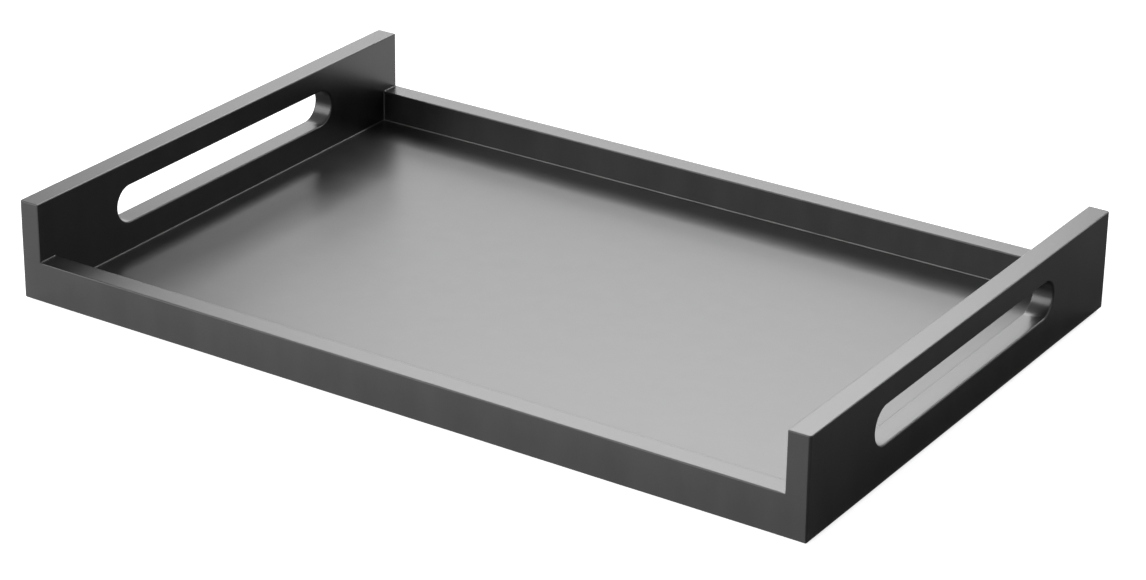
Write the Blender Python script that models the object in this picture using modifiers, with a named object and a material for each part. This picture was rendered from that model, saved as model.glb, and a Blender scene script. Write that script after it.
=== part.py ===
"""Room service tray of black lacquered wood.

Two end panels with hand slots and two low rails make a frame with mitred, dowelled corners. Each mitre
stops at the rail's top, and the end panel carries on square above it. A thin base panel is glued and
screwed into a rebate round the frame's underside, and stands on four rubber feet.

Metres, +Z up. X runs along the tray and Y from front to back. The origin is on the surface that the
feet stand on, under the middle of the tray.
"""

import math

import bmesh
import bpy
from mathutils import Matrix, Vector

# Frame: end panels at both ends of X, rails along the front and the back.
TRAY_LENGTH = 0.600
TRAY_DEPTH = 0.400
PANEL_HEIGHT = 0.070
RAIL_HEIGHT = 0.0285
BOARD = 0.0155
EDGE_EASE = 0.0012
CORNER_ROUND = 0.0016

# Hand slot in each end panel. The grip is the wood left above it.
SLOT_LENGTH = 0.240
SLOT_HEIGHT = 0.0265
GRIP_HEIGHT = 0.0175

# Base panel, in a rebate on the frame's inner bottom edge. Its underside lies a little above the frame's.
BASE_THICKNESS = 0.005
BASE_RECESS = 0.0005
REBATE_WIDTH = 0.009

# Width of a glue line, and the play round a dowel or a screw in its hole.
GLUE_LINE = 0.0003

# Fluted dowels, square to the mitre. The inset runs along the mitre, from its inner end to the dowel's
# middle. The cover is the least wood left between a dowel and an outer face.
DOWEL_DIAMETER = 0.006
DOWEL_INSET = 0.0075
DOWEL_COVER = 0.003
DOWEL_CHAMFER = 0.0005
FLUTE_DEPTH = 0.00015
FLUTES = 12

# Countersunk screws that hold the base panel, driven upwards through it.
SCREW_DIAMETER = 0.003
SCREW_LENGTH = 0.012
SCREW_TIP = 0.0025
HEAD_DIAMETER = 0.0056
HEAD_RIM = 0.0003
HEAD_SINK = 0.0002
CROSS_WIDTH = 0.0008
CROSS_SPAN = 0.0030
CROSS_DEPTH = 0.0011
SCREW_END_MARGIN = 0.050
SCREWS_ALONG_RAIL = 4
SCREWS_ALONG_PANEL = 2

# Rubber feet, stuck to the base panel's underside. The inset is from the tray's outside to their middle.
FOOT_DIAMETER = 0.016
FOOT_HEIGHT = 0.0025
FOOT_ROUND = 0.0008
FOOT_INSET = 0.034

# How finely round shapes are cut: steps to a rounded edge, to a slot's end, and to a whole turn.
EASE_STEPS = 3
SLOT_END_STEPS = 24
HOLE_STEPS = 16
FOOT_STEPS = 32

# How far a cutter runs past the face that it cuts.
OVERCUT = 0.004

# Levels, half sizes and lines that follow from the sizes above.
BASE_UNDERSIDE = FOOT_HEIGHT + GLUE_LINE
BASE_TOP = BASE_UNDERSIDE + BASE_THICKNESS
REBATE_TOP = BASE_TOP + GLUE_LINE
FRAME_BOTTOM = BASE_UNDERSIDE - BASE_RECESS
RAIL_TOP = FRAME_BOTTOM + RAIL_HEIGHT
PANEL_TOP = FRAME_BOTTOM + PANEL_HEIGHT
HALF_LENGTH = TRAY_LENGTH / 2
HALF_DEPTH = TRAY_DEPTH / 2
REBATE_HALF_LENGTH = HALF_LENGTH - BOARD + REBATE_WIDTH
REBATE_HALF_DEPTH = HALF_DEPTH - BOARD + REBATE_WIDTH
SCREW_START = BASE_UNDERSIDE + HEAD_SINK
MITRE_LENGTH = BOARD * math.sqrt(2)
DOWEL_REACH = MITRE_LENGTH - DOWEL_INSET - DOWEL_DIAMETER / 2 - DOWEL_COVER * math.sqrt(2)

LEFT, RIGHT = -1, 1
FRONT, BACK = -1, 1
SIDE_NAMES = {LEFT: "left", RIGHT: "right"}
RUN_NAMES = {FRONT: "front", BACK: "back"}
CORNERS = [(side, run) for run in (FRONT, BACK) for side in (LEFT, RIGHT)]


def clear_scene():
    """Removes whatever the scene holds."""
    for obj in list(bpy.data.objects):
        bpy.data.objects.remove(obj, do_unlink=True)


def new_collection(name):
    collection = bpy.data.collections.new(name)
    bpy.context.scene.collection.children.link(collection)
    return collection


def new_material(name, colour, roughness, metallic=0.0):
    """A Principled material of one linear colour."""
    material = bpy.data.materials.new(name)
    material.use_nodes = True
    shader = material.node_tree.nodes["Principled BSDF"]
    shader.inputs["Base Color"].default_value = (*colour, 1.0)
    shader.inputs["Roughness"].default_value = roughness
    shader.inputs["Metallic"].default_value = metallic
    material.diffuse_color = (*colour, 1.0)
    return material


clear_scene()
TRAY = new_collection("room_service_tray")
CUTTERS = new_collection("cutters")
BLACK_LACQUER = new_material("black_lacquer", (0.012, 0.012, 0.013), 0.35)
BEECH = new_material("beech", (0.55, 0.36, 0.20), 0.7)
ZINC_STEEL = new_material("zinc_steel", (0.55, 0.56, 0.58), 0.35, 1.0)
BLACK_RUBBER = new_material("black_rubber", (0.015, 0.015, 0.015), 0.8)


def place_part(name, mesh, material, matrix=None):
    """Puts a mesh in the tray's collection, shaded smooth except across its sharper edges."""
    part = bpy.data.objects.new(name, mesh)
    TRAY.objects.link(part)
    if matrix is not None:
        part.matrix_world = matrix
    if not mesh.materials:
        mesh.materials.append(material)
        mesh.shade_smooth()
        mesh.set_sharp_from_angle(angle=math.radians(35))
    return part


def place_cutter(name, mesh):
    """A helper that only cuts: drawn as wire, and left out of renders."""
    cutter = bpy.data.objects.new(name, mesh)
    CUTTERS.objects.link(cutter)
    cutter.hide_render = True
    cutter.display_type = "WIRE"
    return cutter


def mesh_from(name, bm):
    mesh = bpy.data.meshes.new(name)
    bm.to_mesh(mesh)
    bm.free()
    return mesh


def add_box(bm, low, high, matrix=None):
    """Adds a box between two corners, in the matrix's own directions."""
    low, high = Vector(low), Vector(high)
    stretch = Matrix.Translation((low + high) / 2) @ Matrix.Diagonal((*(high - low), 1.0))
    bmesh.ops.create_cube(bm, size=1.0, matrix=(matrix or Matrix()) @ stretch)


def add_hole(bm, radius, start, end, matrix):
    """Adds a closed cylinder along the matrix's own Z, from start to end."""
    bmesh.ops.create_cone(
        bm,
        cap_ends=True,
        segments=HOLE_STEPS,
        radius1=radius,
        radius2=radius,
        depth=end - start,
        matrix=matrix @ Matrix.Translation((0.0, 0.0, (start + end) / 2)),
    )


def cut(part, cutter):
    """Takes the cutter's volume out of a part."""
    modifier = part.modifiers.new(cutter.name, "BOOLEAN")
    modifier.operation = "DIFFERENCE"
    modifier.solver = "EXACT"
    modifier.object = cutter


def finished_mesh(name, helper):
    """A helper object's mesh with its modifiers applied and its caps welded. The helper is removed."""
    bpy.context.view_layer.update()
    graph = bpy.context.evaluated_depsgraph_get()
    mesh = bpy.data.meshes.new_from_object(helper.evaluated_get(graph))
    bpy.data.objects.remove(helper, do_unlink=True)
    bm = bmesh.new()
    bm.from_mesh(mesh)
    bmesh.ops.remove_doubles(bm, verts=bm.verts, dist=1e-6)
    bm.to_mesh(mesh)
    bm.free()
    mesh.name = name
    mesh.materials.clear()
    return mesh


def arc(centre, radius, start, end, steps):
    """Points along an arc, from one angle to the other, in radians."""
    turns = [start + (end - start) * i / steps for i in range(steps + 1)]
    return [(centre[0] + radius * math.cos(turn), centre[1] + radius * math.sin(turn)) for turn in turns]


def rounded_rectangle(left, bottom, right, top, radius):
    """An anticlockwise rectangle with round corners, from its top right corner on."""
    centres = [
        (right - radius, top - radius),
        (left + radius, top - radius),
        (left + radius, bottom + radius),
        (right - radius, bottom + radius),
    ]
    points = []
    for quarter, centre in enumerate(centres):
        start = quarter * math.pi / 2
        points += arc(centre, radius, start, start + math.pi / 2, EASE_STEPS)
    return points


def slot_outline(level, length, height):
    """A slot with half-round ends, its long middle line on the given level."""
    radius = height / 2
    reach = length / 2 - radius
    right_end = arc((reach, level), radius, -math.pi / 2, math.pi / 2, SLOT_END_STEPS)
    left_end = arc((-reach, level), radius, math.pi / 2, math.pi * 1.5, SLOT_END_STEPS)
    return right_end + left_end


def plate_mesh(name, outlines, thickness, ease, ease_steps):
    """A flat plate from closed outlines in the XY plane, with the edges of both its faces rounded."""
    curve = bpy.data.curves.new(name, "CURVE")
    curve.dimensions = "2D"
    curve.fill_mode = "BOTH"
    curve.extrude = thickness / 2 - ease
    curve.bevel_depth = ease
    curve.bevel_resolution = ease_steps - 1
    curve.offset = -ease
    for points in outlines:
        spline = curve.splines.new("POLY")
        spline.points.add(len(points) - 1)
        for point, (x, y) in zip(spline.points, points):
            point.co = (x, y, 0.0, 1.0)
        spline.use_cyclic_u = True
    helper = bpy.data.objects.new(name, curve)
    CUTTERS.objects.link(helper)
    mesh = finished_mesh(name, helper)
    bpy.data.curves.remove(curve)
    return mesh


def turn(helper_name, profile, steps):
    """A helper turned about its own Z from (radius, height) points that run down its outer side."""
    mesh = bpy.data.meshes.new(helper_name)
    points = [(radius, 0.0, height) for radius, height in profile]
    mesh.from_pydata(points, [(i, i + 1) for i in range(len(points) - 1)], [])
    helper = place_cutter(helper_name, mesh)
    screw = helper.modifiers.new("turn", "SCREW")
    screw.steps = steps
    screw.render_steps = steps
    screw.use_merge_vertices = True
    screw.merge_threshold = 1e-6
    return helper


def mitre(side, run):
    """A corner's mitre, seen from above: its inner end, the way from there to the outer end, and the
    way across it into the end panel."""
    inner_end = Vector((side * (HALF_LENGTH - BOARD), run * (HALF_DEPTH - BOARD), 0.0))
    outwards = Vector((side, run, 0.0)).normalized()
    into_panel = Vector((side, -run, 0.0)).normalized()
    return inner_end, outwards, into_panel


def mitre_cutter(name, side, run, keep, top):
    """A block that clears a board's end up to half a glue line past the mitre. The board lies on the
    side that keep points to, and the cut stops at top."""
    inner_end, outwards, _ = mitre(side, run)
    middle = inner_end + outwards * MITRE_LENGTH / 2
    across = Vector((-keep.y, keep.x, 0.0))
    matrix = Matrix.Translation(middle) @ Matrix((keep, across, (0, 0, 1))).transposed().to_4x4()
    reach = MITRE_LENGTH / 2 + OVERCUT
    bm = bmesh.new()
    add_box(bm, (-reach, -reach, FRAME_BOTTOM - OVERCUT), (GLUE_LINE / 2, reach, top), matrix)
    return place_cutter(name, mesh_from(name, bm))


def dowel_places(side, run):
    """Where a corner's two dowels sit. Their own Z points across the mitre, into the end panel."""
    inner_end, outwards, into_panel = mitre(side, run)
    middle = inner_end + outwards * DOWEL_INSET
    turned = into_panel.to_track_quat("Z", "Y").to_matrix().to_4x4()
    quarter = (RAIL_TOP - REBATE_TOP) / 4
    levels = {"lower": REBATE_TOP + quarter, "upper": RAIL_TOP - quarter}
    return {
        row: Matrix.Translation((middle.x, middle.y, level)) @ turned
        for row, level in levels.items()
    }


def add_dowel_holes(bm, side, run):
    """Both holes of a corner, each through the mitre into the rail and the end panel alike."""
    reach = DOWEL_REACH + GLUE_LINE
    for place in dowel_places(side, run).values():
        add_hole(bm, DOWEL_DIAMETER / 2 + GLUE_LINE, -reach, reach, place)


def spread(half_length, count):
    """Even places along a side. The outer two lie a margin in from the tray's corners."""
    reach = half_length - SCREW_END_MARGIN
    return [-reach + 2 * reach * i / (count - 1) for i in range(count)]


def rail_screws(run):
    """Where the screws' heads sit along a rail, midway across the rebate."""
    y = run * (REBATE_HALF_DEPTH - REBATE_WIDTH / 2)
    return [Vector((x, y, SCREW_START)) for x in spread(HALF_LENGTH, SCREWS_ALONG_RAIL)]


def panel_screws(side):
    """Where the screws' heads sit along an end panel, midway across the rebate."""
    x = side * (REBATE_HALF_LENGTH - REBATE_WIDTH / 2)
    return [Vector((x, y, SCREW_START)) for y in spread(HALF_DEPTH, SCREWS_ALONG_PANEL)]


def add_screw_holes(bm, places):
    """Blind holes in a board of the frame, for the screws' shanks."""
    for place in places:
        end = SCREW_LENGTH + GLUE_LINE
        add_hole(bm, SCREW_DIAMETER / 2 + GLUE_LINE, -HEAD_SINK, end, Matrix.Translation(place))


def rebate_cutter():
    """The space that the base panel takes out of the frame's inner bottom edge, all the way round."""
    bm = bmesh.new()
    low = (-REBATE_HALF_LENGTH, -REBATE_HALF_DEPTH, FRAME_BOTTOM - OVERCUT)
    add_box(bm, low, (REBATE_HALF_LENGTH, REBATE_HALF_DEPTH, REBATE_TOP))
    return place_cutter("rebate_cutter", mesh_from("rebate_cutter", bm))


def build_end_panel(side, rebate):
    """An upright board with a hand slot, its lower corners mitred up to the rail's top."""
    name = f"{SIDE_NAMES[side]}_end_panel"
    outline = rounded_rectangle(-HALF_DEPTH, FRAME_BOTTOM, HALF_DEPTH, PANEL_TOP, CORNER_ROUND)
    slot = slot_outline(PANEL_TOP - GRIP_HEIGHT - SLOT_HEIGHT / 2, SLOT_LENGTH, SLOT_HEIGHT)
    mesh = plate_mesh(name, [outline, slot], BOARD, EDGE_EASE, EASE_STEPS)
    mesh.transform(Matrix(((0, 0, 1), (1, 0, 0), (0, 1, 0))).to_4x4())
    middle = Matrix.Translation((side * (HALF_LENGTH - BOARD / 2), 0.0, 0.0))
    panel = place_part(name, mesh, BLACK_LACQUER, middle)
    cut(panel, rebate)
    holes = bmesh.new()
    for run in (FRONT, BACK):
        _, _, into_panel = mitre(side, run)
        cutter_name = f"{name}_{RUN_NAMES[run]}_mitre_cutter"
        cut(panel, mitre_cutter(cutter_name, side, run, into_panel, RAIL_TOP + GLUE_LINE))
        add_dowel_holes(holes, side, run)
    add_screw_holes(holes, panel_screws(side))
    cut(panel, place_cutter(f"{name}_hole_cutter", mesh_from(f"{name}_hole_cutter", holes)))


def rail_blank(run):
    """A bar as long as the tray. Its top edges are rounded between the end panels only, and its outer
    bottom edge and outer corners all along."""
    outer = run * HALF_DEPTH
    inner = run * (HALF_DEPTH - BOARD)
    stop = HALF_LENGTH - BOARD - EDGE_EASE
    near = EDGE_EASE / 10
    bm = bmesh.new()
    low = (-HALF_LENGTH, min(outer, inner), FRAME_BOTTOM)
    add_box(bm, low, (HALF_LENGTH, max(outer, inner), RAIL_TOP))
    for side in (LEFT, RIGHT):
        everything = bm.verts[:] + bm.edges[:] + bm.faces[:]
        place = (side * stop, 0.0, 0.0)
        bmesh.ops.bisect_plane(bm, geom=everything, plane_co=place, plane_no=(1.0, 0.0, 0.0))

    def is_rounded(edge):
        a, b = (vertex.co for vertex in edge.verts)
        runs_along = abs(a.x - b.x) > near
        is_upright = abs(a.z - b.z) > near
        is_outer = abs(a.y - outer) < near and abs(b.y - outer) < near
        if is_upright:
            return is_outer and abs(a.x) > HALF_LENGTH - near
        if runs_along and a.z > RAIL_TOP - near:
            return max(abs(a.x), abs(b.x)) < stop + near
        return runs_along and is_outer

    rounded = [edge for edge in bm.edges if is_rounded(edge)]
    bmesh.ops.bevel(
        bm, geom=rounded, offset=EDGE_EASE, segments=EASE_STEPS, profile=0.5, affect="EDGES"
    )
    return bm


def build_rail(run, rebate):
    """A low board between the end panels, mitred at both ends."""
    name = f"{RUN_NAMES[run]}_rail"
    rail = place_part(name, mesh_from(name, rail_blank(run)), BLACK_LACQUER)
    cut(rail, rebate)
    holes = bmesh.new()
    for side in (LEFT, RIGHT):
        _, _, into_panel = mitre(side, run)
        cutter_name = f"{name}_{SIDE_NAMES[side]}_mitre_cutter"
        cut(rail, mitre_cutter(cutter_name, side, run, -into_panel, RAIL_TOP + OVERCUT))
        add_dowel_holes(holes, side, run)
    add_screw_holes(holes, rail_screws(run))
    cut(rail, place_cutter(f"{name}_hole_cutter", mesh_from(f"{name}_hole_cutter", holes)))


def countersink_cutter(name, place):
    """A screw's way through the base panel: a straight hole, coned out for the head at the underside."""
    shank = SCREW_DIAMETER / 2 + GLUE_LINE
    head = HEAD_DIAMETER / 2 + GLUE_LINE
    top = BASE_THICKNESS + OVERCUT
    profile = [
        (0.0, top),
        (shank, top),
        (shank, HEAD_RIM + head - shank),
        (head, HEAD_RIM),
        (head, -OVERCUT),
        (0.0, -OVERCUT),
    ]
    cutter = turn(name, profile, HOLE_STEPS)
    cutter.location = place
    return cutter


def build_base_panel():
    """The thin board that carries the load, set into the rebate from below."""
    name = "base_panel"
    half_length = REBATE_HALF_LENGTH - GLUE_LINE
    half_depth = REBATE_HALF_DEPTH - GLUE_LINE
    bm = bmesh.new()
    add_box(bm, (-half_length, -half_depth, BASE_UNDERSIDE), (half_length, half_depth, BASE_TOP))
    panel = place_part(name, mesh_from(name, bm), BLACK_LACQUER)
    places = rail_screws(FRONT) + rail_screws(BACK) + panel_screws(LEFT) + panel_screws(RIGHT)
    for number, place in enumerate(places, start=1):
        cut(panel, countersink_cutter(f"countersink_{number}_cutter", place))


def build_dowels():
    """Fluted beech dowels, two to a corner."""
    points = []
    for i in range(2 * FLUTES):
        radius = DOWEL_DIAMETER / 2 - FLUTE_DEPTH * (i % 2)
        around = math.pi * i / FLUTES
        points.append((radius * math.cos(around), radius * math.sin(around)))
    mesh = plate_mesh("dowel", [points], 2 * DOWEL_REACH, DOWEL_CHAMFER, 1)
    for side, run in CORNERS:
        for row, place in dowel_places(side, run).items():
            place_part(f"dowel_{RUN_NAMES[run]}_{SIDE_NAMES[side]}_{row}", mesh, BEECH, place)


def screw_mesh():
    """One screw, its tip up and its head at its own origin, with a cross recess in the head."""
    shank = SCREW_DIAMETER / 2
    head = HEAD_DIAMETER / 2
    profile = [
        (0.0, SCREW_LENGTH),
        (shank, SCREW_LENGTH - SCREW_TIP),
        (shank, HEAD_RIM + head - shank),
        (head, HEAD_RIM),
        (head, 0.0),
        (0.0, 0.0),
    ]
    blank = turn("screw_blank", profile, HOLE_STEPS)
    arm = Vector((CROSS_SPAN / 2, CROSS_WIDTH / 2, CROSS_DEPTH))
    recesses = []
    for number, angle in enumerate((0, 90), start=1):
        bm = bmesh.new()
        add_box(bm, -arm, arm, Matrix.Rotation(math.radians(angle), 4, "Z"))
        recesses.append(place_cutter(f"recess_{number}_cutter", mesh_from("recess", bm)))
        cut(blank, recesses[-1])
    return finished_mesh("screw", blank)


def build_screws():
    """Countersunk screws up through the base panel, into every board of the frame."""
    mesh = screw_mesh()
    rows = {
        "front": rail_screws(FRONT),
        "back": rail_screws(BACK),
        "left": panel_screws(LEFT),
        "right": panel_screws(RIGHT),
    }
    for row, places in rows.items():
        for number, place in enumerate(places, start=1):
            place_part(f"base_screw_{row}_{number}", mesh, ZINC_STEEL, Matrix.Translation(place))


def build_feet():
    """Flat round rubber pads near the base panel's corners."""
    radius = FOOT_DIAMETER / 2
    edge = arc((radius - FOOT_ROUND, FOOT_ROUND), FOOT_ROUND, 0.0, -math.pi / 2, EASE_STEPS)
    profile = [(0.0, FOOT_HEIGHT), (radius, FOOT_HEIGHT), *edge, (0.0, 0.0)]
    mesh = finished_mesh("foot", turn("foot_blank", profile, FOOT_STEPS))
    for side, run in CORNERS:
        middle = (side * (HALF_LENGTH - FOOT_INSET), run * (HALF_DEPTH - FOOT_INSET), 0.0)
        name = f"foot_{RUN_NAMES[run]}_{SIDE_NAMES[side]}"
        place_part(name, mesh, BLACK_RUBBER, Matrix.Translation(middle))


REBATE = rebate_cutter()
for SIDE in (LEFT, RIGHT):
    build_end_panel(SIDE, REBATE)
for RUN in (FRONT, BACK):
    build_rail(RUN, REBATE)
build_base_panel()
build_dowels()
build_screws()
build_feet()
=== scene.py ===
"""The black lacquered room service tray, finished: its boards, lacquer, base, screws and feet."""

import math

import bmesh
import bpy
import numpy as np
from mathutils import Matrix, Vector


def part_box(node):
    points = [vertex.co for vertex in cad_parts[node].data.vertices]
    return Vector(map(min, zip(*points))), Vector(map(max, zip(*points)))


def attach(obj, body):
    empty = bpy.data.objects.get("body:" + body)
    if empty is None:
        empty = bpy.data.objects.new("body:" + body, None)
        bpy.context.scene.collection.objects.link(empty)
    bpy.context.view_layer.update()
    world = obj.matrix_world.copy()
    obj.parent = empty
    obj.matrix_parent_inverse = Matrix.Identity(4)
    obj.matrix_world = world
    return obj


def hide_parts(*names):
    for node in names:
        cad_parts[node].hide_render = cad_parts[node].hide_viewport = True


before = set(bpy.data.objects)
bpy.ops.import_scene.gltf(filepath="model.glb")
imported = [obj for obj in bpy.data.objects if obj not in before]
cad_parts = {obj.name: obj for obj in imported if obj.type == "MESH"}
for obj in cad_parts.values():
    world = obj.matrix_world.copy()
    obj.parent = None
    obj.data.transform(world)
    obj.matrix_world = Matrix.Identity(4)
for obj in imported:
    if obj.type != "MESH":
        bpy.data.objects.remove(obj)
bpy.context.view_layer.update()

# Camera: a long lens, a little over two metres from the tray, at its front right corner. Its place and
# aim were solved from the tray's straight edges in the photograph.
CAMERA_TURN = math.radians(32.941)
CAMERA_RISE = math.radians(24.573)
CAMERA_ROLL = math.radians(0.864)
CAMERA_DISTANCE = 2.2722
CAMERA_LENS_MM = 105.8
CAMERA_SENSOR_MM = 36.0
AIM = np.array([-0.0057, 0.0191, 0.0023])


def put_in_scene(name, data):
    """A new object at the origin, put into the scene."""
    thing = bpy.data.objects.new(name, data)
    bpy.context.scene.collection.objects.link(thing)
    return thing


back = np.array([
    math.sin(CAMERA_TURN) * math.cos(CAMERA_RISE),
    -math.cos(CAMERA_TURN) * math.cos(CAMERA_RISE),
    math.sin(CAMERA_RISE),
])
level = np.array([math.cos(CAMERA_TURN), math.sin(CAMERA_TURN), 0.0])
upright = np.cross(back, level)
right = math.cos(CAMERA_ROLL) * level + math.sin(CAMERA_ROLL) * upright
up = math.cos(CAMERA_ROLL) * upright - math.sin(CAMERA_ROLL) * level
stand = np.column_stack([right, up, back, AIM + CAMERA_DISTANCE * back])
camera = put_in_scene("camera", bpy.data.cameras.new("camera"))
camera.data.sensor_width = CAMERA_SENSOR_MM
camera.data.lens = CAMERA_LENS_MM
camera.matrix_world = Matrix([*stand.tolist(), [0.0, 0.0, 0.0, 1.0]])
bpy.context.scene.camera = camera

# Floor: a wide sheet of matt white studio paper. It shows white to the camera and in reflections, and
# keeps the tray's soft shadow.
FLOOR_SIZE = 12.0
PAPER_WHITE = "#f2f2f2"
PURE_WHITE = "#ffffff"

# How much white the sheet adds to its own where the eye sees it.
FLOOR_GLOW = 0.84


def linear(hex_colour):
    """An sRGB hex colour as linear RGBA."""
    channels = np.array([int(hex_colour[i:i + 2], 16) for i in (1, 3, 5)]) / 255
    low, high = channels / 12.92, ((channels + 0.055) / 1.055) ** 2.4
    return (*np.where(channels <= 0.04045, low, high).tolist(), 1.0)


def empty_tree(owner):
    """The node tree of a material or of the world, emptied."""
    owner.use_nodes = True
    owner.node_tree.nodes.clear()
    return owner.node_tree


def add_node(tree, kind, inputs=None, **settings):
    """Adds one node. Inputs are given by name or number: an output socket is linked, a value is set."""
    node = tree.nodes.new(kind)
    for name, value in settings.items():
        setattr(node, name, value)
    for name, value in (inputs or {}).items():
        if isinstance(value, bpy.types.NodeSocket):
            tree.links.new(value, node.inputs[name])
        else:
            node.inputs[name].default_value = value
    return node


def seen_by_eye(tree):
    """1 on rays that lead to the eye, straight, off a gloss or through a clear piece, and else 0."""
    rays = add_node(tree, "ShaderNodeLightPath")
    seen = rays.outputs["Is Camera Ray"]
    for other in ("Is Glossy Ray", "Is Transmission Ray"):
        both = add_node(tree, "ShaderNodeMath", {0: seen, 1: rays.outputs[other]},
                        operation="ADD", use_clamp=True)
        seen = both.outputs[0]
    return seen


def flat_sheet(name, low, high, height, material):
    """A level rectangle between two corners, each an (x, y) pair."""
    (x1, y1), (x2, y2) = low, high
    corners = [(x1, y1, height), (x2, y1, height), (x2, y2, height), (x1, y2, height)]
    mesh = bpy.data.meshes.new(name)
    mesh.from_pydata(corners, [], [(0, 1, 2, 3)])
    mesh.materials.append(material)
    return put_in_scene(name, mesh)


paper = bpy.data.materials.new("matt_white_paper")
tree = empty_tree(paper)
glow = add_node(tree, "ShaderNodeMath", {0: seen_by_eye(tree), 1: FLOOR_GLOW}, operation="MULTIPLY")
sheet = add_node(tree, "ShaderNodeBsdfDiffuse", {"Color": linear(PAPER_WHITE)})
shine = add_node(tree, "ShaderNodeEmission", {"Color": linear(PURE_WHITE), "Strength": glow.outputs[0]})
both = add_node(tree, "ShaderNodeAddShader", {0: sheet.outputs[0], 1: shine.outputs[0]})
add_node(tree, "ShaderNodeOutputMaterial", {"Surface": both.outputs[0]})
half = FLOOR_SIZE / 2
studio_floor = flat_sheet("studio_floor", (-half, -half), (half, half), 0, paper)

# Studio light: a big softbox high behind the tray on the left, a weaker one below it, a very large one
# in front on the left, and a small one behind on the right that draws the bright edges.
SOFTBOX_DISTANCE = 3.65

# For each softbox: where it hangs, in degrees clockwise from straight behind the tray and upwards, how
# wide and how high it looks from the tray, in degrees too, and its brightness.
SOFTBOXES = {
    "softbox_behind_left": dict(turn=330, rise=38.6, wide=24.6, high=24.4, brightness=6.8),
    "softbox_low_behind_left": dict(turn=327, rise=10.8, wide=30.5, high=19.9, brightness=1.56),
    "softbox_front": dict(turn=204, rise=24, wide=58, high=36, brightness=5.0),
    "softbox_behind_right": dict(turn=17.4, rise=37.4, wide=14, high=14, brightness=9.5),
}


def softbox_side(degrees):
    """How long a side is that spans an angle at the tray: twice the distance by the half angle's
    tangent."""
    return 2 * SOFTBOX_DISTANCE * math.tan(math.radians(degrees / 2))


for name, box in SOFTBOXES.items():
    lamp = bpy.data.lights.new(name, "AREA")
    lamp.shape = "RECTANGLE"
    lamp.size, lamp.size_y = softbox_side(box["wide"]), softbox_side(box["high"])
    # A softbox gives off pi times its brightness from each square metre, as any matt, glowing sheet does.
    lamp.energy = box["brightness"] * math.pi * lamp.size * lamp.size_y
    softbox = put_in_scene(name, lamp)
    turn, rise = math.radians(box["turn"]), math.radians(box["rise"])
    towards = Vector((math.sin(turn) * math.cos(rise), math.cos(turn) * math.cos(rise), math.sin(rise)))
    softbox.rotation_euler = towards.to_track_quat("Z", "Y").to_euler()
    softbox.location = towards * SOFTBOX_DISTANCE

# Flags: a grey sheet lies by each end of the tray and is seen only in the gloss, as painted shade: it
# stands for floor in the tray's shade, so that these ends reflect no white floor. It casts no shadow,
# and neither the camera nor diffuse light sees it.
MM = 0.001
SHADE_CARD_GREY = "#9c9c9c"
CARD_HEIGHT = 0.4 * MM
# Two opposite (x, y) corners of each card.
CARDS = {
    "shade_card_left": ((-0.60, -0.08), (-0.301, 0.45)),
    "shade_card_right": ((0.301, -0.45), (1.60, 1.70)),
}

# The sheets' grey is painted shade in the reflections of the tray's ends.
shade_card_material = bpy.data.materials.new("painted_shade_for_gloss")
tree = empty_tree(shade_card_material)
sheet = add_node(tree, "ShaderNodeBsdfDiffuse", {"Color": linear(SHADE_CARD_GREY)})
add_node(tree, "ShaderNodeOutputMaterial", {"Surface": sheet.outputs[0]})
# Each sheet shows only to gloss rays, as painted shade standing for floor in shade.
for name, (low, high) in CARDS.items():
    shade_card = flat_sheet(name, low, high, CARD_HEIGHT, shade_card_material)
    shade_card.visible_camera = False
    shade_card.visible_diffuse = False
    shade_card.visible_shadow = False
    shade_card.visible_transmission = False

# Room: plain white walls all round, a long way off. They show white to the camera and in the gloss, and
# give little light.
ROOM_WHITE = 1.0
ROOM_LIGHT = 0.03

room = bpy.data.worlds.new("studio_room")
tree = empty_tree(room)
dim = add_node(tree, "ShaderNodeBackground", {"Color": linear(PURE_WHITE), "Strength": ROOM_LIGHT})
white = add_node(tree, "ShaderNodeBackground", {"Color": linear(PURE_WHITE), "Strength": ROOM_WHITE})
pick = add_node(tree, "ShaderNodeMixShader", {
    0: seen_by_eye(tree), 1: dim.outputs[0], 2: white.outputs[0]})
add_node(tree, "ShaderNodeOutputWorld", {"Surface": pick.outputs[0]})
bpy.context.scene.world = room
bpy.context.scene.view_settings.view_transform = "Standard"

# Rails: two low boards of medium density fibreboard, mitred at both ends and rebated inside for the
# base. Their edges are sanded round by hand, and the glued frame is sprayed with satin black lacquer.
panel_low, panel_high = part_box("right_end_panel")
base_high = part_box("base_panel")[1]
HALF_LENGTH = panel_high.x
HALF_DEPTH = panel_high.y
BOARD = panel_high.x - panel_low.x
FRAME_BOTTOM = panel_low.z
RAIL_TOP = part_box("front_rail")[1].z
PANEL_TOP = panel_high.z
BASE_TOP = base_high.z

# The rebate leaves the width of a glue line beside the base, and a thinner film of glue above it.
GLUE_LINE = 0.3 * MM
GLUE_FILM = 0.1 * MM
REBATE_DEPTH = HALF_LENGTH - base_high.x - GLUE_LINE
REBATE_TOP = BASE_TOP + GLUE_FILM

# What sanding leaves: the radius of an edge, of an upright corner at its top, the share of that at the
# floor, and slow waves in these radii, each a swing, a length and a phase.
EDGE_ROUND = 0.8 * MM
CORNER_ROUND = 2.2 * MM
FLOOR_SHARE = 0.6
SANDING_WAVES = ((0.10, 190 * MM, 0.0), (0.06, 70 * MM, 1.3))

# Sandpaper doesn't reach into a joint. A rail's top edges fade to this radius over this length, which
# ends so far into the joint.
JOINT_ROUND = 0.12 * MM
FADE = 6 * MM
FADE_END = 1 * MM

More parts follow.
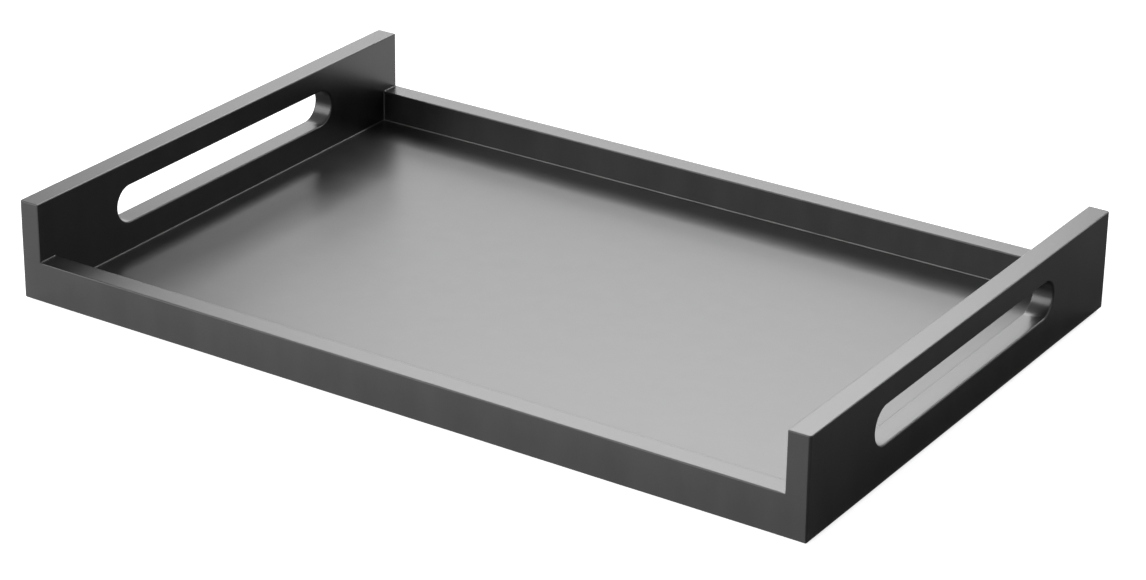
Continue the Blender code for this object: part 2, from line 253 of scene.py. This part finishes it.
# The mesh of a board: steps to a rounded edge, and the gaps from it to its support line and from there
# to the next line. A rail also has rows by each end, rows along its middle and a gap between these.
EDGE_STEPS = 9
SUPPORT = 0.4 * MM
SPACING = 0.5 * MM
RAIL_END_ROWS = 22
RAIL_MIDDLE_ROWS = 60
RAIL_MIDDLE_GAP = 4 * MM

# How far a board keeps off its neighbour at the inner end of a joint, so that they don't coincide.
SEAM = 0.03 * MM

# Points closer than WELD are one, edges shorter than SLIVER go, and faces meet smoothly up to an angle.
# TINY keeps a divisor off zero and covers rounding errors, and nothing reaches as far as FAR.
WELD = 0.001 * MM
SLIVER = 0.0001 * MM
SHARP_ANGLE = math.radians(32)
TINY = 1e-9
FAR = 10.0

# Where points lie beside a sharp edge so that they come out evenly once it is round: r (1 - tan a), for
# even angles a up to 45 degrees. They run from the edge inwards, and end with the support line.
BESIDE_EDGE = np.append(CORNER_ROUND * (1 - np.tan(np.linspace(math.pi / 4, 0, EDGE_STEPS + 1))),
                        CORNER_ROUND + SUPPORT)
BESIDE_EDGE[0] = 0.0


def slow_waves(run, waves):
    """The sum of sine waves along a run, each given as its swing, length and phase."""
    return sum(swing * np.sin(2 * math.pi * run / length + phase) for swing, length, phase in waves)


def sanded_radius(points, nominal):
    """The radius that hand sanding leaves at each point of an edge: the nominal one with its slow waves,
    which run with the sum of the point's coordinates."""
    run = points.sum(-1, keepdims=True)
    return nominal * (1 + slow_waves(run, SANDING_WAVES))


def round_over(points, low, high, radius):
    """Rounds the edges and corners of a box with a ball. A point's ball sits at the nearest point of the
    box shrunk by the radius, and a point outside its ball moves straight in to the ball's surface."""
    middle = np.clip(points, low + radius, high - radius)
    out = points - middle
    reach = np.linalg.norm(out, axis=-1, keepdims=True)
    return middle + out * radius / np.maximum(reach, radius)


def ease_outside(points, low, high, side_low, side_high):
    """Rounds a board's outside. First its upright corners, between side_low and side_high: in plan, a
    square at each corner shrinks along its rays to a quarter disc, whose radius grows evenly from the
    floor to the top. Then a smaller ball rolls along the edges that these sides make with the faces at
    low and high: a point beyond it moves straight in to its surface."""
    share = FLOOR_SHARE + (1 - FLOOR_SHARE) * np.clip(points[..., 2:] / PANEL_TOP, 0, 1)
    corner = sanded_radius(points, CORNER_ROUND * share)
    edge = sanded_radius(points, EDGE_ROUND)
    middle = np.clip(points, side_low + corner, side_high - corner)
    out = points - middle
    reach = np.abs(out).max(-1, keepdims=True)
    out /= np.maximum(np.linalg.norm(out, axis=-1, keepdims=True), TINY)
    points = middle + out * reach
    beyond = points - np.clip(points, low + edge, high - edge)
    beyond += out * np.maximum(reach - corner + edge, 0)
    length = np.linalg.norm(beyond, axis=-1, keepdims=True)
    return points - beyond * (1 - edge / np.maximum(length, edge))


def board(name, grid, capped, drawn=None):
    """A board from a grid of points whose columns run round it. capped closes the first and last rows
    with a flat face each, and otherwise the rows run round too. Points that coincide are welded. drawn
    is the grid before its edges were rounded: how far a point has moved since, against the most that an
    edge moves, is kept as the attribute sanded."""
    rows, columns = grid.shape[:2]
    index = np.arange(rows * columns).reshape(rows, columns)
    ends = [index[0, ::-1].tolist(), index[-1].tolist()] if capped else []
    index = np.concatenate([index, index[:, :1]], 1)
    if not capped:
        index = np.concatenate([index, index[:1]], 0)
    quads = np.stack([index[:-1, :-1], index[:-1, 1:], index[1:, 1:], index[1:, :-1]], -1)
    mesh = bpy.data.meshes.new(name)
    mesh.from_pydata(grid.reshape(-1, 3), [], quads.reshape(-1, 4).tolist() + ends)
    if drawn is not None:
        moved = np.linalg.norm(grid - drawn, axis=-1) / (EDGE_ROUND * (math.sqrt(2) - 1))
        sanded = mesh.attributes.new("sanded", "FLOAT", "POINT")
        sanded.data.foreach_set("value", np.clip(moved, 0, 1).ravel())
    work = bmesh.new()
    work.from_mesh(mesh)
    bmesh.ops.remove_doubles(work, verts=work.verts, dist=WELD)
    bmesh.ops.dissolve_degenerate(work, edges=work.edges, dist=SLIVER)
    if work.calc_volume(signed=True) < 0:
        bmesh.ops.reverse_faces(work, faces=work.faces)
    work.to_mesh(mesh)
    work.free()
    mesh.shade_smooth()
    mesh.set_sharp_from_angle(angle=SHARP_ANGLE)
    return put_in_scene(name, mesh)


def rail_surface():
    """The front rail as a grid. Its columns go round a section of (depth, height) points: outer face,
    top, inner face and rebate. Its rows run along the rail from one mitre to the other, and a row's
    place along the rail is the tray's half length less the depth and less the way from the mitre. The
    first and last rows are each a single point, the middle of a mitred end."""
    near = BESIDE_EDGE
    low, high = FRAME_BOTTOM, RAIL_TOP
    section = np.array(
        [(d, low) for d in near[::-1]]
        + [(0.0, low + h) for h in near[1:]]
        + [(0.0, high - h) for h in near[:0:-1]]
        + [(d, high) for d in near]
        + [(BOARD - d, high) for d in near[::-1]]
        + [(BOARD, high - h) for h in near[1:]]
        + [(BOARD, REBATE_TOP), (REBATE_DEPTH, REBATE_TOP), (REBATE_DEPTH, low)]
    )
    depth, height = section.T
    inside = BOARD + 2 * FADE
    way = np.concatenate([near, np.linspace(near[-1] + SPACING, inside, RAIL_END_ROWS)])
    clear = HALF_LENGTH - inside - BOARD - RAIL_MIDDLE_GAP
    middle = np.linspace(-clear, clear, RAIL_MIDDLE_ROWS)
    gap = SEAM * depth / BOARD
    left_rows = -(HALF_LENGTH - gap - depth) + way[:, None]
    x = np.concatenate([left_rows, np.repeat(middle[:, None], len(depth), 1), -left_rows[::-1]])
    y = np.broadcast_to(depth - HALF_DEPTH, x.shape)
    z = np.broadcast_to(height, x.shape)
    points = np.stack([x, y, z], -1)
    middles = np.repeat(points[[0, -1]].mean(1, keepdims=True), len(depth), 1)
    return np.concatenate([middles[:1], points, middles[1:]])


def round_rail(points, side):
    """Rounds a rail's top edges between the end panels, where the radius fades in smoothly, and then its
    outer bottom edge and outer corners. side is -1 for the front and 1 for the back."""
    from_joint = HALF_LENGTH - BOARD + FADE_END - np.abs(points[..., :1])
    fade = np.clip(from_joint / FADE, 0, 1)
    open_round = sanded_radius(points, EDGE_ROUND)
    top_round = JOINT_ROUND + (open_round - JOINT_ROUND) * fade ** 2 * (3 - 2 * fade)
    outer, inner = side * HALF_DEPTH, side * (HALF_DEPTH - BOARD)
    low = np.array([-FAR, min(outer, inner), -FAR])
    high = np.array([FAR, max(outer, inner), RAIL_TOP])
    points = round_over(points, low, high, top_round)
    low, high = np.array([-FAR, -FAR, FRAME_BOTTOM]), np.array([FAR, FAR, FAR])
    side_low = np.array([-HALF_LENGTH, outer if side < 0 else -FAR, -FAR])
    side_high = np.array([HALF_LENGTH, outer if side > 0 else FAR, FAR])
    return ease_outside(points, low, high, side_low, side_high)


rail = rail_surface()
front_rail = board("lacquered_front_rail", round_rail(rail, -1), capped=True, drawn=rail)
rail = rail * (-1, -1, 1)
back_rail = board("lacquered_back_rail", round_rail(rail, 1), capped=True, drawn=rail)
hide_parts("front_rail")
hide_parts("back_rail")

# End panels: two taller boards of the same fibreboard, with a hand slot routed through each. They are
# mitred into the rails up to the rails' top and stand square on them above it.
GRIP = 17.5 * MM
SLOT_LENGTH = 240 * MM
SLOT_RADIUS = 13.25 * MM
SLOT_LEVEL = PANEL_TOP - GRIP - SLOT_RADIUS
SLOT_REACH = SLOT_LENGTH / 2 - SLOT_RADIUS
SLOT_ROUND = 1.2 * MM

# The mesh of a panel: rays round a slot's end, points along its straight part, rows across a face, and
# points along the ledge where the panel stands on a rail, as shares of its length.
RAYS = 44
STRAIGHT_POINTS = 44
FACE_ROWS = 3
LEDGE_SHARES = (0.0, 0.1, 0.5, 0.9, 1.0)


def panel_outline():
    """The outer face's edge as (y, z) points, anticlockwise from the lower middle, and for each point
    how far along the joint's ledge it lies, or -1 off it. Points sit where evenly spread rays from the
    ends of the slot meet the edge, and close together beside the corners."""
    near = BESIDE_EDGE
    angle = np.linspace(-math.pi / 2, math.pi / 2, RAYS + 1)[1:-1]
    height = np.where(angle > 0, PANEL_TOP - SLOT_LEVEL, SLOT_LEVEL - FRAME_BOTTOM)
    length = np.minimum((HALF_DEPTH - SLOT_REACH) / np.cos(angle),
                        height / np.maximum(np.abs(np.sin(angle)), TINY))
    hit_y = SLOT_REACH + length * np.cos(angle)
    hit_z = SLOT_LEVEL + length * np.sin(angle)
    support = near[-1] + SPACING
    bottom = hit_y[(angle < 0) & (hit_y < HALF_DEPTH - support)]
    top = hit_y[(angle > 0) & (hit_y < HALF_DEPTH - support)]
    end_z = hit_z[hit_y > HALF_DEPTH - WELD]
    low_end = end_z[(end_z > FRAME_BOTTOM + support) & (end_z < RAIL_TOP - 3 * SPACING)]
    high_end = end_z[(end_z > RAIL_TOP + support + SPACING) & (end_z < PANEL_TOP - support)]
    right_side = np.array(
        [(y, FRAME_BOTTOM, -1) for y in np.sort(bottom)]
        + [(HALF_DEPTH - n, FRAME_BOTTOM, -1) for n in near[::-1]]
        + [(HALF_DEPTH, FRAME_BOTTOM + n, -1) for n in near[1:]]
        + [(HALF_DEPTH, z, -1) for z in low_end]
        + [(HALF_DEPTH, RAIL_TOP, s) for s in LEDGE_SHARES]
        + [(HALF_DEPTH, RAIL_TOP + support, -1)]
        + [(HALF_DEPTH, z, -1) for z in high_end]
        + [(HALF_DEPTH, PANEL_TOP - n, -1) for n in near[:0:-1]]
        + [(HALF_DEPTH - n, PANEL_TOP, -1) for n in near]
        + [(y, PANEL_TOP, -1) for y in np.sort(top)[::-1]]
    )
    left_side = right_side[::-1] * (-1, 1, 1)
    straight = np.linspace(-SLOT_REACH, SLOT_REACH, STRAIGHT_POINTS)
    under = np.array([(y, FRAME_BOTTOM, -1) for y in straight])
    over = np.array([(y, PANEL_TOP, -1) for y in straight[::-1]])
    return np.concatenate([right_side, over, left_side, under])


def panel_surface():
    """The right end panel as a grid. Its columns go round the outline. Its rows go once round the
    board's thickness: out over the outer face from the slot, across the edge, back over the inner face
    and through the slot. An edge row lies at a depth u from the outer face and is inset by e from the
    outline. The mitre brings its ends in by u below the rail's top. A slot row is a line with half-round
    ends: a point of the slot's middle line, and the slot's radius and w from it towards the outline."""
    y, z, ledge = panel_outline().T
    near = BESIDE_EDGE
    core = np.clip(y, -SLOT_REACH, SLOT_REACH)
    towards = np.stack([y - core, z - SLOT_LEVEL], -1)
    towards /= np.linalg.norm(towards, axis=-1, keepdims=True)

    def edge_row(u, e, bottom):
        gap = SEAM * u / BOARD
        under_rail = HALF_DEPTH - u - gap - e
        free = HALF_DEPTH - e
        limit = np.where(z < RAIL_TOP - WELD, under_rail, free)
        limit = np.where(ledge >= 0, under_rail * (1 - ledge) + free * ledge, limit)
        row_z = np.clip(z, bottom + e, PANEL_TOP - e)
        row_z = np.where(ledge >= 0, RAIL_TOP + SEAM + e, row_z)
        row_y = np.where(ledge >= 0, np.sign(y) * limit, np.clip(y, -limit, limit))
        return np.stack([np.full_like(y, HALF_LENGTH - u), row_y, row_z], -1)

    def slot_row(u, w):
        out = (SLOT_RADIUS + w) * towards
        x = np.full_like(y, HALF_LENGTH - u)
        return np.stack([x, core + out[:, 0], SLOT_LEVEL + out[:, 1]], -1)

    def between(start, end):
        return [start + (end - start) * s for s in np.linspace(0, 1, FACE_ROWS + 2)[1:-1]]

    outer_edge, outer_slot = edge_row(0, near[-1], FRAME_BOTTOM), slot_row(0, near[-1])
    inner_edge, inner_slot = edge_row(BOARD, near[-1], REBATE_TOP), slot_row(BOARD, near[-1])
    rows = [outer_slot, *between(outer_slot, outer_edge)]
    rows += [edge_row(0, e, FRAME_BOTTOM) for e in near[::-1]]
    rows += [edge_row(u, 0, FRAME_BOTTOM) for u in near[1:]]
    rows += [edge_row(REBATE_DEPTH, 0, FRAME_BOTTOM), edge_row(REBATE_DEPTH, 0, REBATE_TOP)]
    rows += [edge_row(BOARD - u, 0, REBATE_TOP) for u in near[::-1]]
    rows += [edge_row(BOARD, e, REBATE_TOP) for e in near[1:]]
    rows += [*between(inner_edge, inner_slot), inner_slot]
    turn = np.linspace(0, math.pi / 2, 2 * EDGE_STEPS + 1)
    away, sunk = SLOT_ROUND * (1 - np.sin(turn)), SLOT_ROUND * (1 - np.cos(turn))
    rows += [slot_row(BOARD - s, w) for s, w in zip(sunk, away)]
    rows += [slot_row(BOARD - near[-1], 0), slot_row(near[-1], 0)]
    rows += [slot_row(s, w) for s, w in zip(sunk[::-1], away[::-1])]
    return np.array(rows)


def round_panel(points, side):
    """Rounds an end panel's outside edges and corners. side is -1 for the left and 1 for the right."""
    outer, inner = side * HALF_LENGTH, side * (HALF_LENGTH - BOARD)
    low = np.array([inner if side > 0 else -FAR, -FAR, FRAME_BOTTOM])
    high = np.array([inner if side < 0 else FAR, FAR, PANEL_TOP])
    side_low = np.array([outer if side < 0 else -FAR, -HALF_DEPTH, -FAR])
    side_high = np.array([outer if side > 0 else FAR, HALF_DEPTH, FAR])
    return ease_outside(points, low, high, side_low, side_high)


panel = panel_surface()
right_panel = board("lacquered_right_end_panel", round_panel(panel, 1), capped=False, drawn=panel)
panel = panel * (-1, -1, 1)
left_panel = board("lacquered_left_end_panel", round_panel(panel, -1), capped=False, drawn=panel)
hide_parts("right_end_panel")
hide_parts("left_end_panel")

# Filler beads: a fine hollow bead of filler closes each joint inside, where two boards meet, and is
# lacquered with them. Its hollow catches the light from behind, and its lacquer is drawn paler than
# the boards' as a painted highlight, so that it shows as a pale, thin line.
BEAD = 0.8 * MM

# As shares of its size: how far a bead reaches into the joint behind it, the slow waves in its size,
# and what is left of it at an open end. Then the length over which it tapers to that.
BEAD_ROOT = 0.2
BEAD_WAVES = ((0.08, 23 * MM, 0.0), (0.05, 61 * MM, 0.7))
BEAD_TIP = 0.25
BEAD_TAPER = 0.5 * MM

# An upright bead stops short of the rail's top, and a ledge bead of the rail's inner and outer face.
CORNER_STOP = 0.5 * MM
LEDGE_START = 0.1 * MM
LEDGE_STOP = 0.3 * MM

# Upright beads and the one round the base start so far into the waves that no taper shows.
CORNER_WAVE_START = 9 * MM
BASE_WAVE_START = 14.2 * MM

# The mesh of the beads: steps across one, steps along each side of the base and what such a step is
# reckoned at in the waves, and points along an upright and a ledge bead.
BEAD_STEPS = 7
LONG_STEPS = 79
SHORT_STEPS = 53
BASE_STEP = 7.1 * MM
CORNER_POINTS = 14
LEDGE_POINTS = 24

INSIDE_LENGTH = HALF_LENGTH - BOARD
INSIDE_DEPTH = HALF_DEPTH - BOARD


def bead_surface(path, first, second, size):
    """A bead along a path, as a grid with a row for each point of the path. first and second point away
    from the two boards. The section goes from one board to the other along a hollow quarter circle
    whose middle is the bead's size away from both, and back through the joint behind them."""
    turn = np.linspace(0, math.pi / 2, BEAD_STEPS + 1)
    a = np.concatenate([[1.0], 1 - np.sin(turn), [-BEAD_ROOT, -BEAD_ROOT]])
    b = np.concatenate([[-BEAD_ROOT], 1 - np.cos(turn), [1.0, -BEAD_ROOT]])
    size = np.asarray(size)[:, None, None]
    return path[:, None] + size * (a[:, None] * first[:, None] + b[:, None] * second[:, None])


def bead_size(run, length):
    """A bead's size along its run: it swells and thins in slow waves. Over the taper at either end of
    the length it shrinks with the root of the way that is left."""
    ends = np.clip(np.minimum(run, length - run) / BEAD_TAPER, 0, 1)
    return BEAD * (1 + slow_waves(run, BEAD_WAVES)) * (BEAD_TIP + (1 - BEAD_TIP) * np.sqrt(ends))


def base_bead():
    """The bead round the base, in one closed run. At a corner both its neighbours' directions add up."""
    along = np.linspace(-1, 1, LONG_STEPS, endpoint=False)
    across = np.linspace(-1, 1, SHORT_STEPS, endpoint=False)
    x = np.concatenate([along, np.ones(SHORT_STEPS), -along, -np.ones(SHORT_STEPS)]) * INSIDE_LENGTH
    y = np.concatenate([-np.ones(LONG_STEPS), across, np.ones(LONG_STEPS), -across]) * INSIDE_DEPTH
    path = np.stack([x, y, np.full_like(x, BASE_TOP)], -1)
    inwards = np.zeros_like(path)
    inwards[:, 0] = -np.sign(x) * (np.abs(x) > INSIDE_LENGTH - TINY)
    inwards[:, 1] = -np.sign(y) * (np.abs(y) > INSIDE_DEPTH - TINY)
    upwards = np.broadcast_to([0.0, 0.0, 1.0], path.shape)
    run = BASE_WAVE_START + np.arange(len(path)) * BASE_STEP
    return bead_surface(path, inwards, upwards, bead_size(run, FAR))


def corner_bead(side, run):
    """The upright bead where a rail meets an end panel inside."""
    z = np.linspace(BASE_TOP, RAIL_TOP - CORNER_STOP, CORNER_POINTS)
    path = np.stack([np.full_like(z, side * INSIDE_LENGTH), np.full_like(z, run * INSIDE_DEPTH), z], -1)
    from_panel = np.broadcast_to([-side, 0.0, 0.0], path.shape)
    from_rail = np.broadcast_to([0.0, -run, 0.0], path.shape)
    return bead_surface(path, from_panel, from_rail, bead_size(z - z[0] + CORNER_WAVE_START, FAR))


def ledge_bead(side, run):
    """The bead where a rail's top meets an end panel's inner face."""
    y = run * np.linspace(INSIDE_DEPTH + LEDGE_START, HALF_DEPTH - LEDGE_STOP, LEDGE_POINTS)
    path = np.stack([np.full_like(y, side * INSIDE_LENGTH), y, np.full_like(y, RAIL_TOP)], -1)
    from_panel = np.broadcast_to([-side, 0.0, 0.0], path.shape)
    upwards = np.broadcast_to([0.0, 0.0, 1.0], path.shape)
    along = np.abs(y - y[0])
    return bead_surface(path, from_panel, upwards, bead_size(along, along[-1]))


SIDES = {-1: "left", 1: "right"}
RUNS = {-1: "front", 1: "back"}
beads = [board("filler_bead_round_base", base_bead(), capped=False)]
for side in SIDES:
    for run in RUNS:
        place = f"{RUNS[run]}_{SIDES[side]}"
        beads.append(board(f"filler_bead_corner_{place}", corner_bead(side, run), capped=True))
        beads.append(board(f"filler_bead_ledge_{place}", ledge_bead(side, run), capped=True))

# Satin black lacquer, two-part polyurethane, sprayed: nearly black, evenly silky, with a faint orange
# peel, soft cloudy patches from the spray gun and a thinner, paler film along the sanded edges.
LACQUER_BLACK = "#151515"
LACQUER_THIN = "#232323"
# The beads' colours are paler than the boards': thin lacquer over filler, and a painted highlight.
FILLER_GREY_AND_HIGHLIGHT = "#3c3c3b"
FILLER_THIN_AND_HIGHLIGHT = "#565654"
LACQUER_ROUGHNESS = 0.306
ROUGHNESS_SWING = 0.008
LACQUER_IOR = 1.5

# The gun's strokes draw the spray clouds out upright. Orange peel is 1 to 2 mm across. It is drawn at
# 3 mm, because a finer one doesn't show.
CLOUD_WIDTH = 22.2 * MM
CLOUD_HEIGHT = 71.4 * MM
PEEL_WIDTH = 3.03 * MM
PEEL_RELIEF = 0.02 * MM


def satin_lacquer(name, black, thin):
    """The lacquer, from its colour where the film is full to that where it is thin."""
    material = bpy.data.materials.new(name)
    tree = empty_tree(material)
    place = add_node(tree, "ShaderNodeTexCoord").outputs["Object"]
    strokes = add_node(tree, "ShaderNodeMapping", {
        "Vector": place, "Scale": (CLOUD_WIDTH, CLOUD_WIDTH, CLOUD_HEIGHT)}, vector_type="TEXTURE")
    clouds = add_node(tree, "ShaderNodeTexNoise", {
        "Vector": strokes.outputs[0], "Scale": 1.0, "Detail": 3.0})
    peel = add_node(tree, "ShaderNodeTexNoise", {
        "Vector": place, "Scale": 1 / PEEL_WIDTH, "Detail": 1.0})
    film = add_node(tree, "ShaderNodeMapRange", {
        "Value": clouds.outputs[0], "From Min": 0.36, "From Max": 0.64, "To Min": 0.0, "To Max": 0.7})
    # Sanding cuts through the first coat on an edge here and there, so its film is thin in patches.
    edge = add_node(tree, "ShaderNodeAttribute", attribute_name="sanded")
    patchy = add_node(tree, "ShaderNodeMath", {0: edge.outputs["Fac"], 1: clouds.outputs[0]},
                      operation="MULTIPLY")
    film = add_node(tree, "ShaderNodeMath", {0: film.outputs[0], 1: patchy.outputs[0]},
                    operation="ADD", use_clamp=True)
    colour = add_node(tree, "ShaderNodeMix", {
        "Factor": film.outputs[0], 6: linear(black), 7: linear(thin)}, data_type="RGBA")
    silk = add_node(tree, "ShaderNodeMapRange", {
        "Value": clouds.outputs[0], "From Min": 0.3, "From Max": 0.7,
        "To Min": LACQUER_ROUGHNESS - ROUGHNESS_SWING, "To Max": LACQUER_ROUGHNESS + ROUGHNESS_SWING})
    relief = add_node(tree, "ShaderNodeBump", {
        "Height": peel.outputs[0], "Strength": 0.25, "Distance": PEEL_RELIEF})
    shader = add_node(tree, "ShaderNodeBsdfPrincipled", {
        "Base Color": colour.outputs[2], "Roughness": silk.outputs[0], "IOR": LACQUER_IOR,
        "Normal": relief.outputs[0]})
    add_node(tree, "ShaderNodeOutputMaterial", {"Surface": shader.outputs[0]})
    return material


board_lacquer = satin_lacquer("satin_black_lacquer", LACQUER_BLACK, LACQUER_THIN)
# The beads' lacquer carries a painted highlight in its paler colours.
filler_lacquer_and_highlight = satin_lacquer("filler_lacquer_with_painted_highlight", FILLER_GREY_AND_HIGHLIGHT, FILLER_THIN_AND_HIGHLIGHT)
boards = [front_rail, back_rail, left_panel, right_panel]
for pieces, lacquer in ((boards, board_lacquer), (beads, filler_lacquer_and_highlight)):
    for piece in pieces:
        piece.data.materials.append(lacquer)
        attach(piece, "root")


# Base panel: thin hard fibreboard, lacquered like the frame, set into the rebate from below and glued
# and screwed there.


def dress(node, material):
    """Gives a node of the CAD frame its finished material."""
    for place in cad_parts[node].material_slots:
        place.material = material


dress("base_panel", board_lacquer)

# Dowels: turned beech, fluted so that the glue spreads. They are hidden in the corner joints. The wood
# is left bare, a dull, pale reddish brown.
BEECH_PALE = "#c9a173"
BEECH_DARK = "#a97c4e"

# Beech rays show as short dark flecks along the grain, about 3 mm long and 0.7 mm wide.
FLECK_LENGTH = 3.3 * MM
FLECK_WIDTH = 0.67 * MM
FLECK_RELIEF = 0.05 * MM

beech = bpy.data.materials.new("bare_beech")
tree = empty_tree(beech)
place = add_node(tree, "ShaderNodeTexCoord").outputs["Object"]
# The grain runs along each dowel, which lies across its mitre. There one of the sizes of x and y grows
# as the other shrinks, so one turn suits all four corners.
mirrored = add_node(tree, "ShaderNodeVectorMath", {0: place}, operation="ABSOLUTE")
along = add_node(tree, "ShaderNodeMapping", {
    "Vector": mirrored.outputs[0], "Rotation": (0.0, 0.0, math.radians(-45)),
    "Scale": (FLECK_LENGTH, FLECK_WIDTH, FLECK_WIDTH)}, vector_type="TEXTURE")
grain = add_node(tree, "ShaderNodeTexNoise", {"Vector": along.outputs[0], "Scale": 1.0, "Detail": 3.0})
colour = add_node(tree, "ShaderNodeMix", {
    "Factor": grain.outputs[0], 6: linear(BEECH_PALE), 7: linear(BEECH_DARK)}, data_type="RGBA")
relief = add_node(tree, "ShaderNodeBump", {
    "Height": grain.outputs[0], "Strength": 0.3, "Distance": FLECK_RELIEF})
shader = add_node(tree, "ShaderNodeBsdfPrincipled", {
    "Base Color": colour.outputs[2], "Roughness": 0.62, "Normal": relief.outputs[0]})
add_node(tree, "ShaderNodeOutputMaterial", {"Surface": shader.outputs[0]})
for side in SIDES.values():
    for run in RUNS.values():
        for row in ("lower", "upper"):
            dress(f"dowel_{run}_{side}_{row}", beech)

# Screws: countersunk steel with a cross recess, which hold the base up in its rebate and show only from
# below. They are zinc plated and clear passivated, a pale, slightly blue metal with a soft shine.
ZINC_PALE = "#c3c6ca"
ZINC_DARK = "#9fa4aa"
SCREWS = {"front": 4, "back": 4, "left": 2, "right": 2}

# Barrel plating leaves a fine mottle, about half a millimetre across.
MOTTLE_WIDTH = 0.5 * MM

zinc = bpy.data.materials.new("zinc_plated_steel")
tree = empty_tree(zinc)
place = add_node(tree, "ShaderNodeTexCoord").outputs["Object"]
mottle = add_node(tree, "ShaderNodeTexNoise", {
    "Vector": place, "Scale": 1 / MOTTLE_WIDTH, "Detail": 2.0})
colour = add_node(tree, "ShaderNodeMix", {
    "Factor": mottle.outputs[0], 6: linear(ZINC_PALE), 7: linear(ZINC_DARK)}, data_type="RGBA")
silk = add_node(tree, "ShaderNodeMapRange", {"Value": mottle.outputs[0], "To Min": 0.26, "To Max": 0.42})
shader = add_node(tree, "ShaderNodeBsdfPrincipled", {
    "Base Color": colour.outputs[2], "Roughness": silk.outputs[0], "Metallic": 1.0})
add_node(tree, "ShaderNodeOutputMaterial", {"Surface": shader.outputs[0]})
for row, count in SCREWS.items():
    for number in range(1, count + 1):
        dress(f"base_screw_{row}_{number}", zinc)

# Feet: moulded black rubber pads with an eased lower edge, stuck to the base's underside. The rubber
# is a dull black that has gone slightly grey.
RUBBER_BLACK = "#1c1c1c"
RUBBER_GREY = "#2a2a2a"

# The mould is spark eroded, which leaves a grain about 0.2 mm across. The grey lies in patches.
GRIT_WIDTH = 0.2 * MM
GRIT_RELIEF = 0.03 * MM
PATCH_WIDTH = 4 * MM

# A pad's form: how its upper and lower rims are eased, and how far in its sole's dish begins, reaches
# its full depth, and how deep that is.
RIM_EASE = 0.2 * MM
SOLE_EASE = 0.8 * MM
DISH_START = 2.2 * MM
DISH_FULL = 2.8 * MM
DISH_DEPTH = 0.3 * MM

# The mesh of a pad: the radius of the small flat face that closes its middle, steps round its lower rim,
# and steps round the whole pad.
MIDDLE_RADIUS = 0.05 * MM
SOLE_STEPS = 6
FOOT_STEPS = 64

rubber = bpy.data.materials.new("moulded_black_rubber")
tree = empty_tree(rubber)
place = add_node(tree, "ShaderNodeTexCoord").outputs["Object"]
grit = add_node(tree, "ShaderNodeTexNoise", {"Vector": place, "Scale": 1 / GRIT_WIDTH, "Detail": 2.0})
tone = add_node(tree, "ShaderNodeTexNoise", {"Vector": place, "Scale": 1 / PATCH_WIDTH, "Detail": 2.0})
colour = add_node(tree, "ShaderNodeMix", {
    "Factor": tone.outputs[0], 6: linear(RUBBER_BLACK), 7: linear(RUBBER_GREY)}, data_type="RGBA")
relief = add_node(tree, "ShaderNodeBump", {
    "Height": grit.outputs[0], "Strength": 0.5, "Distance": GRIT_RELIEF})
shader = add_node(tree, "ShaderNodeBsdfPrincipled", {
    "Base Color": colour.outputs[2], "Roughness": 0.72, "IOR": 1.52, "Normal": relief.outputs[0]})
add_node(tree, "ShaderNodeOutputMaterial", {"Surface": shader.outputs[0]})


def foot_surface(middle, radius, height):
    """A pad turned about its middle: a grid with a row for each point of its half section, from the
    middle of its top, over the rim, round the eased lower edge and in over a shallow dished sole."""
    turn = np.linspace(0, math.pi / 2, SOLE_STEPS + 1)
    r = np.concatenate([
        [MIDDLE_RADIUS, radius - RIM_EASE, radius - RIM_EASE / 2, radius],
        radius - SOLE_EASE + SOLE_EASE * np.cos(turn),
        [radius - DISH_START, radius - DISH_FULL, MIDDLE_RADIUS],
    ])
    h = np.concatenate([
        [height, height, height - 0.3 * RIM_EASE, height - RIM_EASE],
        SOLE_EASE - SOLE_EASE * np.sin(turn),
        [0.0, DISH_DEPTH, DISH_DEPTH],
    ])
    angle = np.linspace(0, 2 * math.pi, FOOT_STEPS, endpoint=False)
    x = middle[0] + r[:, None] * np.cos(angle)
    y = middle[1] + r[:, None] * np.sin(angle)
    return np.stack([x, y, np.broadcast_to(h[:, None], x.shape)], -1)


for side in SIDES.values():
    for run in RUNS.values():
        foot_low, foot_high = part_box(f"foot_{run}_{side}")
        middle = (foot_low + foot_high) / 2
        radius = (foot_high.x - foot_low.x) / 2
        foot = board(f"rubber_foot_{run}_{side}", foot_surface(middle, radius, foot_high.z), capped=True)
        foot.data.materials.append(rubber)
        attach(foot, "root")
        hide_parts(f"foot_{run}_{side}")
